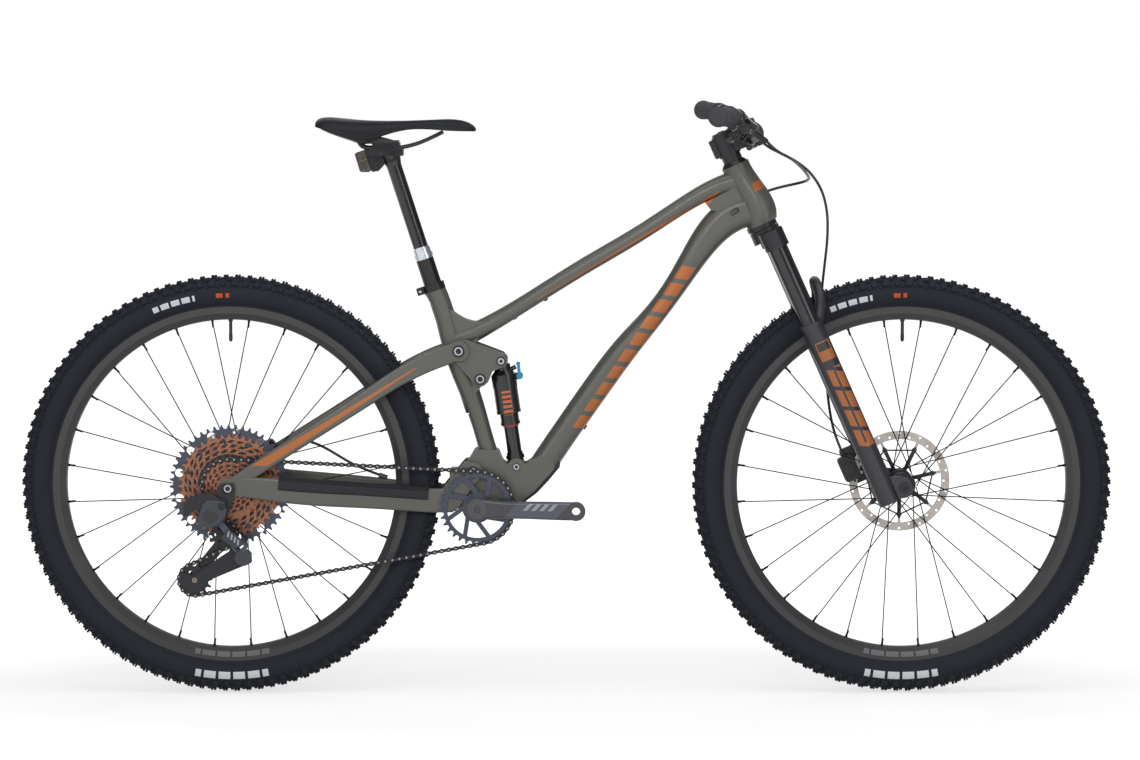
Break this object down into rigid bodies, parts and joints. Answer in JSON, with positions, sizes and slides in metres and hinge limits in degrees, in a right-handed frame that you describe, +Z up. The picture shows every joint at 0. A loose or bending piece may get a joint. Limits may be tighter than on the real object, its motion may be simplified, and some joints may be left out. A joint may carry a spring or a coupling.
{
  "type": "full suspension mountain bike",
  "caption": "Full-suspension mountain bike without pedals: carbon frame, air shock and rocker, suspension fork, disc brakes, dropper seatpost and wireless rear derailleur.",
  "frame": {"origin": "on the ground, under the middle of the wheelbase, in the bike's middle plane", "axes": "+X is the direction of travel, +Z is up, and the drive side with the chain is at -Y"},
  "size_m": [1.9418, 0.774, 1.0506],
  "materials": {
    "frame_paint": "satin clear coat over gunmetal olive",
    "black_alloy": "black anodised",
    "steel": "plated steel",
    "rubber": "matt",
    "post_black": "gloss black anodised",
    "silver": "silver anodised",
    "stanchion": "polished hard anodised",
    "carbon": "matt carbon",
    "fork_paint": "satin dark grey",
    "tyre": "matt",
    "rim": "matt carbon",
    "spoke": "black",
    "rotor": "ground",
    "copper": "copper coloured coating",
    "slate": "slate blue anodised",
    "chain": "bronze coloured coating",
    "crank": "gloss slate carbon",
    "blue": "blue anodised",
    "black_plastic": "semi gloss",
    "shock_black": "gloss black",
    "saddle_skin": "matt synthetic",
    "hose": "satin"
  },
  "bodies": {
    "frame": {"main_frame": "frame_paint", "bearing_cups": "black_alloy", "seat_collar": "black_alloy", "frame_hardware": "steel", "down_tube_guard": "rubber", "dropper_outer": "post_black", "dropper_collar": "silver"},
    "steering": {"steerer_and_crown": "fork_paint", "stanchions": "stanchion", "stem": "black_alloy", "handlebar": "carbon", "grips": "rubber", "brake_master_cylinders": "black_alloy", "control_pods": "black_plastic", "rear_brake_hose": "hose"},
    "right_brake_lever": {"right_brake_lever": "black_alloy"},
    "left_brake_lever": {"left_brake_lever": "black_alloy"},
    "shift_paddle": {"shift_paddle": "black_plastic"},
    "dropper_paddle": {"dropper_paddle": "black_plastic"},
    "compression_dial": {"compression_dial": "black_alloy"},
    "fork_lowers": {"fork_lowers": "fork_paint", "front_axle": "black_alloy", "front_caliper": "black_alloy", "front_brake_hose": "hose"},
    "front_wheel": {"front_tyre": "tyre", "front_rim": "rim", "front_spokes": "spoke", "front_rotor": "rotor", "front_hub": "black_alloy"},
    "swingarm": {"swingarm": "frame_paint", "swingarm_hardware": "steel", "chainstay_guard": "rubber", "rear_caliper": "black_alloy", "rear_hose_tail": "hose", "derailleur_mount": "slate", "chain": "chain"},
    "rear_wheel": {"rear_tyre": "tyre", "rear_rim": "rim", "rear_spokes": "spoke", "rear_rotor": "rotor", "rear_hub": "black_alloy"},
    "cassette": {"cassette": "copper", "large_cog": "slate"},
    "rocker": {"rocker": "black_alloy"},
    "shock_shaft": {"shock_shaft": "shock_black"},
    "shock_air_can": {"shock_air_can": "shock_black"},
    "shock_lever": {"shock_lever": "blue"},
    "seatpost": {"dropper_stanchion": "stanchion", "dropper_battery": "black_plastic", "saddle_rails": "carbon", "saddle": "saddle_skin"},
    "crank": {"drive_crank_arm": "crank", "left_crank_arm": "crank", "chainring": "black_alloy"},
    "derailleur_outer_link": {"derailleur_outer_link": "slate"},
    "derailleur_inner_link": {"derailleur_inner_link": "slate"},
    "derailleur_knuckle": {"derailleur_knuckle": "slate"},
    "derailleur_cage": {"derailleur_cage": "slate"},
    "guide_pulley": {"guide_pulley": "black_plastic"},
    "tension_pulley": {"tension_pulley": "black_plastic"}
  },
  "joints": [
    {"name": "steer", "type": "hinge", "parent": "frame", "child": "steering", "pos_m": [0.34509, 0, 0.83653], "axis": [-0.4067, 0, 0.9136], "range_deg": [-62, 62], "deforming": ["rear_brake_hose"]},
    {"name": "right_brake_pull", "type": "hinge", "parent": "steering", "child": "right_brake_lever", "pos_m": [0.30841, -0.23153, 0.99328], "axis": [-0.6037, 0.1034, -0.7905], "range_deg": [0, 18], "stiffness_Nm_per_rad": 0.9, "springref_deg": -5.73},
    {"name": "left_brake_pull", "type": "hinge", "parent": "steering", "child": "left_brake_lever", "pos_m": [0.30841, 0.23153, 0.99328], "axis": [0.6037, 0.1034, 0.7905], "range_deg": [0, 18], "stiffness_Nm_per_rad": 0.9, "springref_deg": -5.73},
    {"name": "shift_paddle_press", "type": "hinge", "parent": "steering", "child": "shift_paddle", "pos_m": [0.30904, -0.18559, 1.00039], "axis": [0.4144, -0.1028, -0.9043], "range_deg": [0, 20], "stiffness_Nm_per_rad": 0.4, "springref_deg": -5.73},
    {"name": "dropper_paddle_press", "type": "hinge", "parent": "steering", "child": "dropper_paddle", "pos_m": [0.30904, 0.18559, 1.00039], "axis": [-0.4144, -0.1028, 0.9043], "range_deg": [0, 20], "stiffness_Nm_per_rad": 0.4, "springref_deg": -5.73},
    {"name": "compression_dial_turn", "type": "hinge", "parent": "steering", "child": "compression_dial", "pos_m": [0.35647, -0.066, 0.83065], "axis": [-0.4067, 0, 0.9136], "range_deg": [-45, 45]},
    {"name": "fork_travel", "type": "slide", "parent": "steering", "child": "fork_lowers", "axis": [-0.4067, 0, 0.9136], "range_m": [0, 0.12], "stiffness_N_per_m": 5000, "springref_m": -0.02, "deforming": ["front_brake_hose"]},
    {"name": "front_wheel_spin", "type": "hinge", "parent": "fork_lowers", "child": "front_wheel", "pos_m": [0.597, 0, 0.374], "axis": [0, 1, 0], "continuous": true},
    {"name": "rear_travel", "type": "hinge", "parent": "frame", "child": "swingarm", "pos_m": [-0.166, 0, 0.398], "axis": [0, 1, 0], "range_deg": [0, 15.9], "stiffness_Nm_per_rad": 1400, "springref_deg": -4.3, "deforming": ["chain"]},
    {"name": "rear_wheel_spin", "type": "hinge", "parent": "swingarm", "child": "rear_wheel", "pos_m": [-0.597, 0, 0.374], "axis": [0, 1, 0], "continuous": true},
    {"name": "cassette_spin", "type": "hinge", "parent": "swingarm", "child": "cassette", "pos_m": [-0.597, 0, 0.374], "axis": [0, 1, 0], "continuous": true},
    {"name": "rocker_turn", "type": "hinge", "parent": "frame", "child": "rocker", "pos_m": [-0.153, 0, 0.563], "axis": [0, 1, 0], "range_deg": [0, 57.6]},
    {"name": "shock_lower_turn", "type": "hinge", "parent": "frame", "child": "shock_shaft", "pos_m": [-0.089, 0, 0.4065], "axis": [0, 1, 0], "range_deg": [0, 1.5]},
    {"name": "shock_stroke", "type": "slide", "parent": "shock_shaft", "child": "shock_air_can", "axis": [0.1418, 0, -0.9899], "range_m": [0, 0.0467]},
    {"name": "shock_lever_turn", "type": "hinge", "parent": "shock_air_can", "child": "shock_lever", "pos_m": [-0.08319, -0.023, 0.56695], "axis": [0, 1, 0], "range_deg": [0, 60]},
    {"name": "dropper_travel", "type": "slide", "parent": "frame", "child": "seatpost", "axis": [-0.309, 0, 0.9511], "range_m": [-0.15, 0], "stiffness_N_per_m": 200, "springref_m": 0.25},
    {"name": "crank_spin", "type": "hinge", "parent": "frame", "child": "crank", "pos_m": [-0.158, 0, 0.336], "axis": [0, 1, 0], "continuous": true},
    {"name": "derailleur_shift", "type": "hinge", "parent": "swingarm", "child": "derailleur_outer_link", "pos_m": [-0.612, -0.093, 0.316], "axis": [0.7744, 0, 0.6327], "range_deg": [-24, 18], "deforming": ["chain"]},
    {"name": "derailleur_inner_swing", "type": "hinge", "parent": "swingarm", "child": "derailleur_inner_link", "pos_m": [-0.612, -0.079, 0.316], "axis": [0.7744, 0, 0.6327], "range_deg": [-25, 19]},
    {"name": "derailleur_knuckle_swing", "type": "hinge", "parent": "derailleur_outer_link", "child": "derailleur_knuckle", "pos_m": [-0.5785, -0.093, 0.275], "axis": [0.7744, 0, 0.6327], "range_deg": [-19, 25]},
    {"name": "derailleur_cage_swing", "type": "hinge", "parent": "derailleur_knuckle", "child": "derailleur_cage", "pos_m": [-0.5695, -0.06, 0.251], "axis": [0, 1, 0], "range_deg": [-46, 61]},
    {"name": "guide_pulley_spin", "type": "hinge", "parent": "derailleur_cage", "child": "guide_pulley", "pos_m": [-0.60799, -0.05, 0.28787], "axis": [0, 1, 0], "continuous": true},
    {"name": "tension_pulley_spin", "type": "hinge", "parent": "derailleur_cage", "child": "tension_pulley", "pos_m": [-0.6595, -0.05, 0.20744], "axis": [0, 1, 0], "continuous": true}
  ],
  "couplings": [
    {"joint": "cassette_spin", "follows": "crank_spin", "ratio": 1.3333},
    {"joint": "guide_pulley_spin", "follows": "crank_spin", "ratio": -2.6667},
    {"joint": "tension_pulley_spin", "follows": "crank_spin", "ratio": 2.2857},
    {"joint": "rocker_turn", "follows": "rear_travel", "ratio": 3.62},
    {"joint": "shock_lower_turn", "follows": "rear_travel", "ratio": 0.088},
    {"joint": "shock_stroke", "follows": "rear_travel", "m_per_rad": 0.168},
    {"joint": "derailleur_inner_swing", "follows": "derailleur_shift", "ratio": 1},
    {"joint": "derailleur_knuckle_swing", "follows": "derailleur_shift", "ratio": -1},
    {"joint": "derailleur_cage_swing", "follows": "derailleur_shift", "ratio": -2.5}
  ]
}
